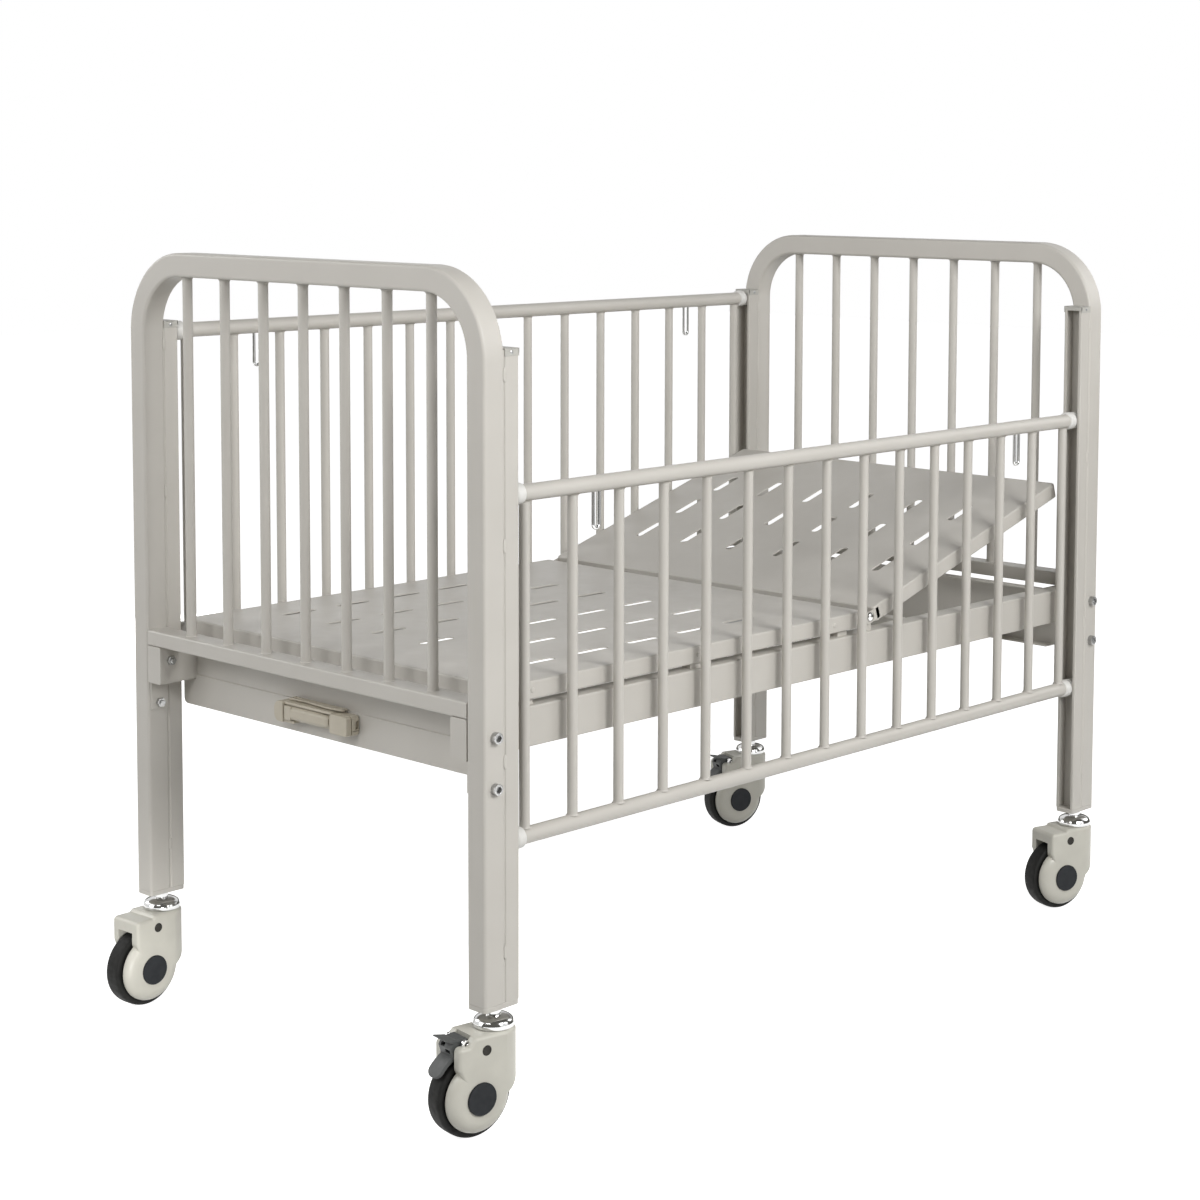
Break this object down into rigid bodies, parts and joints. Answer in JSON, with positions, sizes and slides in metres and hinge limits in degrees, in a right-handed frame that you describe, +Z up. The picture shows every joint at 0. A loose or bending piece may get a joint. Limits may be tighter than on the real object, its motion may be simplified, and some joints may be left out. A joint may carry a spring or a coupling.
{
  "type": "pediatric hospital cot",
  "caption": "Pediatric hospital cot: painted steel end arches, sliding spindle guards, slotted deck with cranked backrest, four swivel casters.",
  "frame": {"origin": "middle of the footprint of the whole cot, at floor level", "axes": "+X towards the head end, +Z up, -Y the side with the lowered guard"},
  "size_m": [1.6298, 0.9, 1.244],
  "materials": {
    "paint": "satin powder coat, warm light grey",
    "chrome": "bright plated",
    "steel": "zinc plated, brushed",
    "nylon": "white moulded nylon",
    "cover": "ivory moulded plastic, satin",
    "tyre": "black rubber tread",
    "slate": "dark slate moulded caps",
    "pedal": "dark grey moulded pedal",
    "beige": "beige moulded handle"
  },
  "bodies": {
    "frame": {"foot_arch_tube": "paint", "head_arch_tube": "paint", "foot_spindle_rail": "paint", "head_spindle_rail": "paint", "foot_end_beam": "paint", "head_end_beam": "paint", "near_side_beam": "paint", "far_side_beam": "paint", "near_hinge_pin": "chrome", "far_hinge_pin": "chrome", "foot_deck_panel": "paint", "mid_cross_member": "paint", "screw_bearing": "steel", "near_foot_channel": "paint", "far_foot_channel": "paint", "near_head_channel": "paint", "far_head_channel": "paint", "near_foot_caster_stem": "chrome", "far_foot_caster_stem": "chrome", "near_head_caster_stem": "chrome", "far_head_caster_stem": "chrome"},
    "backrest": {"backrest_panel": "paint", "backrest_lift_lever": "steel"},
    "nut": {"drive_nut": "steel"},
    "screw": {"lead_screw": "steel"},
    "crank": {"crank_hub": "beige", "crank_arm": "beige"},
    "grip": {"crank_grip": "beige"},
    "near_guard": {"near_guard_frame": "paint", "near_foot_top_bush": "nylon", "near_foot_bottom_bush": "nylon", "near_foot_latch_spring": "steel", "near_head_top_bush": "nylon", "near_head_bottom_bush": "nylon", "near_head_latch_spring": "steel"},
    "far_guard": {"far_guard_frame": "paint", "far_foot_top_bush": "nylon", "far_foot_bottom_bush": "nylon", "far_foot_latch_spring": "steel", "far_head_top_bush": "nylon", "far_head_bottom_bush": "nylon", "far_head_latch_spring": "steel"},
    "near_foot_latch": {"near_foot_latch_rod": "chrome"},
    "far_foot_latch": {"far_foot_latch_rod": "chrome"},
    "near_head_latch": {"near_head_latch_rod": "chrome"},
    "far_head_latch": {"far_head_latch_rod": "chrome"},
    "near_foot_caster": {"near_foot_caster_housing": "cover", "near_foot_caster_axle": "slate"},
    "near_foot_wheel": {"near_foot_caster_wheel": "tyre"},
    "far_foot_caster": {"far_foot_caster_housing": "cover", "far_foot_caster_axle": "slate"},
    "far_foot_wheel": {"far_foot_caster_wheel": "tyre"},
    "near_head_caster": {"near_head_caster_housing": "cover", "near_head_caster_axle": "slate"},
    "near_head_wheel": {"near_head_caster_wheel": "tyre"},
    "far_head_caster": {"far_head_caster_housing": "cover", "far_head_caster_axle": "slate"},
    "far_head_wheel": {"far_head_caster_wheel": "tyre"},
    "near_foot_pedal": {"near_foot_brake_pedal": "pedal"},
    "far_head_pedal": {"far_head_brake_pedal": "pedal"}
  },
  "joints": [
    {"name": "backrest_hinge", "type": "hinge", "parent": "frame", "child": "backrest", "pos_m": [0.18185, -0.01205, 0.625], "axis": [0, -1, 0], "range_deg": [-16.8, 54.6]},
    {"name": "nut_travel", "type": "slide", "parent": "frame", "child": "nut", "axis": [1, 0, 0], "range_m": [-0.028, 0.0907]},
    {"name": "crank_spin", "type": "hinge", "parent": "frame", "child": "screw", "pos_m": [-0.66314, -0.05804, 0.53], "axis": [1, 0, 0], "range_deg": [-1440.5, 4680.5]},
    {"name": "crank_pull", "type": "slide", "parent": "screw", "child": "crank", "axis": [-1, 0, 0], "range_m": [0, 0.075]},
    {"name": "grip_fold", "type": "hinge", "parent": "crank", "child": "grip", "pos_m": [-0.68964, 0.06595, 0.53], "axis": [0, 0, -1], "range_deg": [0, 90]},
    {"name": "near_guard_slide", "type": "slide", "parent": "frame", "child": "near_guard", "axis": [0, 0, 1], "range_m": [0, 0.193]},
    {"name": "far_guard_slide", "type": "slide", "parent": "frame", "child": "far_guard", "axis": [0, 0, 1], "range_m": [-0.193, 0]},
    {"name": "near_foot_latch_pull", "type": "slide", "parent": "near_guard", "child": "near_foot_latch", "axis": [1, 0, 0], "range_m": [0, 0.012], "stiffness_N_per_m": 400, "springref_m": -0.015},
    {"name": "far_foot_latch_pull", "type": "slide", "parent": "far_guard", "child": "far_foot_latch", "axis": [1, 0, 0], "range_m": [0, 0.012], "stiffness_N_per_m": 400, "springref_m": -0.015},
    {"name": "near_head_latch_pull", "type": "slide", "parent": "near_guard", "child": "near_head_latch", "axis": [-1, 0, 0], "range_m": [0, 0.012], "stiffness_N_per_m": 400, "springref_m": -0.015},
    {"name": "far_head_latch_pull", "type": "slide", "parent": "far_guard", "child": "far_head_latch", "axis": [-1, 0, 0], "range_m": [0, 0.012], "stiffness_N_per_m": 400, "springref_m": -0.015},
    {"name": "near_foot_swivel", "type": "hinge", "parent": "frame", "child": "near_foot_caster", "pos_m": [-0.70749, -0.41704, 0.16], "axis": [0, 0, 1], "continuous": true},
    {"name": "near_foot_roll", "type": "hinge", "parent": "near_foot_caster", "child": "near_foot_wheel", "pos_m": [-0.74898, -0.41047, 0.0625], "axis": [0.1564, 0.9877, 0], "continuous": true},
    {"name": "near_foot_brake", "type": "hinge", "parent": "near_foot_caster", "child": "near_foot_pedal", "pos_m": [-0.76676, -0.40766, 0.1425], "axis": [-0.1564, -0.9877, 0], "range_deg": [0, 5]},
    {"name": "far_foot_swivel", "type": "hinge", "parent": "frame", "child": "far_foot_caster", "pos_m": [-0.70749, 0.39295, 0.16], "axis": [0, 0, 1], "continuous": true},
    {"name": "far_foot_roll", "type": "hinge", "parent": "far_foot_caster", "child": "far_foot_wheel", "pos_m": [-0.74944, 0.39076, 0.0625], "axis": [-0.0523, 0.9986, 0], "continuous": true},
    {"name": "near_head_swivel", "type": "hinge", "parent": "frame", "child": "near_head_caster", "pos_m": [0.78121, -0.41704, 0.16], "axis": [0, 0, 1], "continuous": true},
    {"name": "near_head_roll", "type": "hinge", "parent": "near_head_caster", "child": "near_head_wheel", "pos_m": [0.74126, -0.40407, 0.0625], "axis": [0.309, 0.9511, 0], "continuous": true},
    {"name": "far_head_swivel", "type": "hinge", "parent": "frame", "child": "far_head_caster", "pos_m": [0.78121, 0.39295, 0.16], "axis": [0, 0, 1], "continuous": true},
    {"name": "far_head_roll", "type": "hinge", "parent": "far_head_caster", "child": "far_head_wheel", "pos_m": [0.74126, 0.40593, 0.0625], "axis": [0.309, 0.9511, 0], "continuous": true},
    {"name": "far_head_brake", "type": "hinge", "parent": "far_head_caster", "child": "far_head_pedal", "pos_m": [0.72414, 0.4115, 0.1425], "axis": [-0.309, -0.9511, 0], "range_deg": [0, 5]}
  ],
  "couplings": [
    {"joint": "nut_travel", "follows": "backrest_hinge", "m_per_rad": 0.095},
    {"joint": "crank_spin", "follows": "backrest_hinge", "ratio": 85.714}
  ]
}
